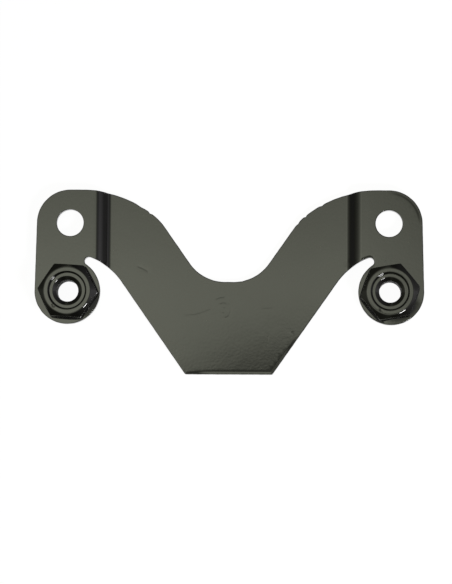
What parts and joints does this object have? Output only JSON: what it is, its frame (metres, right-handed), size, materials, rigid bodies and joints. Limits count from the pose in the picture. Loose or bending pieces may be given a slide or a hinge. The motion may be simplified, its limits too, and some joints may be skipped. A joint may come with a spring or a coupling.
{
  "type": "tail light bracket",
  "caption": "Flat V-shaped steel bracket with joggled ears, a plain bolt hole and a hexagon weld nut on each ear, painted gloss black, for carrying a motorbike tail light.",
  "frame": {"origin": "midway between the two bolt holes, on the ears' rear face", "axes": "+Z out of the nut side, +X along the line through the two bolt holes, +Y away from the bottom edge"},
  "size_m": [0.09, 0.0426, 0.0089],
  "materials": {
    "plate_paint": "gloss black paint over pressed steel",
    "nut_paint": "gloss black paint over a steel weld nut"
  },
  "bodies": {
    "root": {"bracket_plate": "plate_paint", "left_weld_nut": "nut_paint", "right_weld_nut": "nut_paint"}
  },
  "joints": []
}
